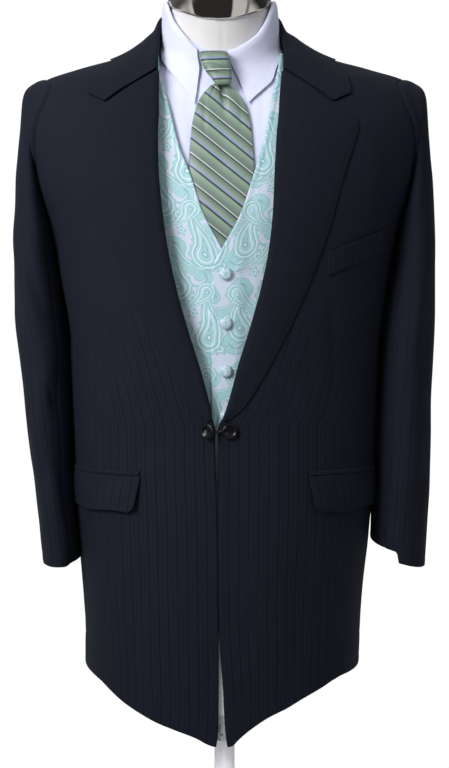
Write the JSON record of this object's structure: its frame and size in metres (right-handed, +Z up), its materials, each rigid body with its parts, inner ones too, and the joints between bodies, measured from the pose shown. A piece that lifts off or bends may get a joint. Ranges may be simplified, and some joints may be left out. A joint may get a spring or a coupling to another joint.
{
  "type": "suit on dress form",
  "caption": "Dark long suit coat with wide notch lapels, worn over a pale waistcoat, white shirt and necktie on a limbless dress form with a pole and a round base",
  "frame": {"origin": "centre of the underside of the round base, on the floor", "axes": "+Z up, the front of the suit faces -Y, +X is the side of the wearer's left arm"},
  "size_m": [0.5338, 0.4, 1.5573],
  "materials": {
    "coat_cloth": "matte wool with tone-on-tone stripes",
    "coat_button": "glossy",
    "lining": "smooth lining cloth",
    "lining_cord": "twisted dark and light cord",
    "waistcoat_cloth": "satin jacquard with a paisley figure",
    "shirt_cloth": "matte poplin",
    "tie_silk": "satin silk",
    "form_cover": "matte jersey cover",
    "neck_cap": "polished",
    "stand_paint": "satin white"
  },
  "bodies": {
    "root": {"coat_front_R": "coat_cloth", "coat_back_R": "coat_cloth", "coat_front_L": "coat_cloth", "coat_back_L": "coat_cloth", "coat_lapel_R": "coat_cloth", "coat_lapel_L": "coat_cloth", "coat_collar": "coat_cloth", "coat_collar_stand": "coat_cloth", "coat_flap_R": "coat_cloth", "coat_welt_R": "coat_cloth", "coat_flap_L": "coat_cloth", "coat_welt_L": "coat_cloth", "coat_breast_welt": "coat_cloth", "coat_sleeve_upper_R": "coat_cloth", "coat_sleeve_under_R": "coat_cloth", "coat_sleeve_upper_L": "coat_cloth", "coat_sleeve_under_L": "coat_cloth", "shirt_front_R": "shirt_cloth", "shirt_front_L": "shirt_cloth", "shirt_back": "shirt_cloth", "shirt_collar_stand": "shirt_cloth", "shirt_collar_leaf": "shirt_cloth", "tie_band": "tie_silk", "tie_knot": "tie_silk", "tie_blade": "tie_silk", "vest_front_R": "waistcoat_cloth", "vest_front_L": "waistcoat_cloth", "vest_back": "waistcoat_cloth", "vest_button_1": "waistcoat_cloth", "vest_button_2": "waistcoat_cloth", "vest_button_3": "waistcoat_cloth", "vest_button_4": "waistcoat_cloth", "vest_button_5": "waistcoat_cloth", "coat_button_R": "coat_button", "coat_button_L": "coat_button", "coat_link": "coat_button", "coat_lining_L": "lining", "coat_cord_L": "lining_cord", "form_torso": "form_cover", "form_neck_cap": "neck_cap", "stand_pole": "stand_paint", "stand_collar": "stand_paint", "stand_base": "stand_paint"}
  },
  "joints": []
}
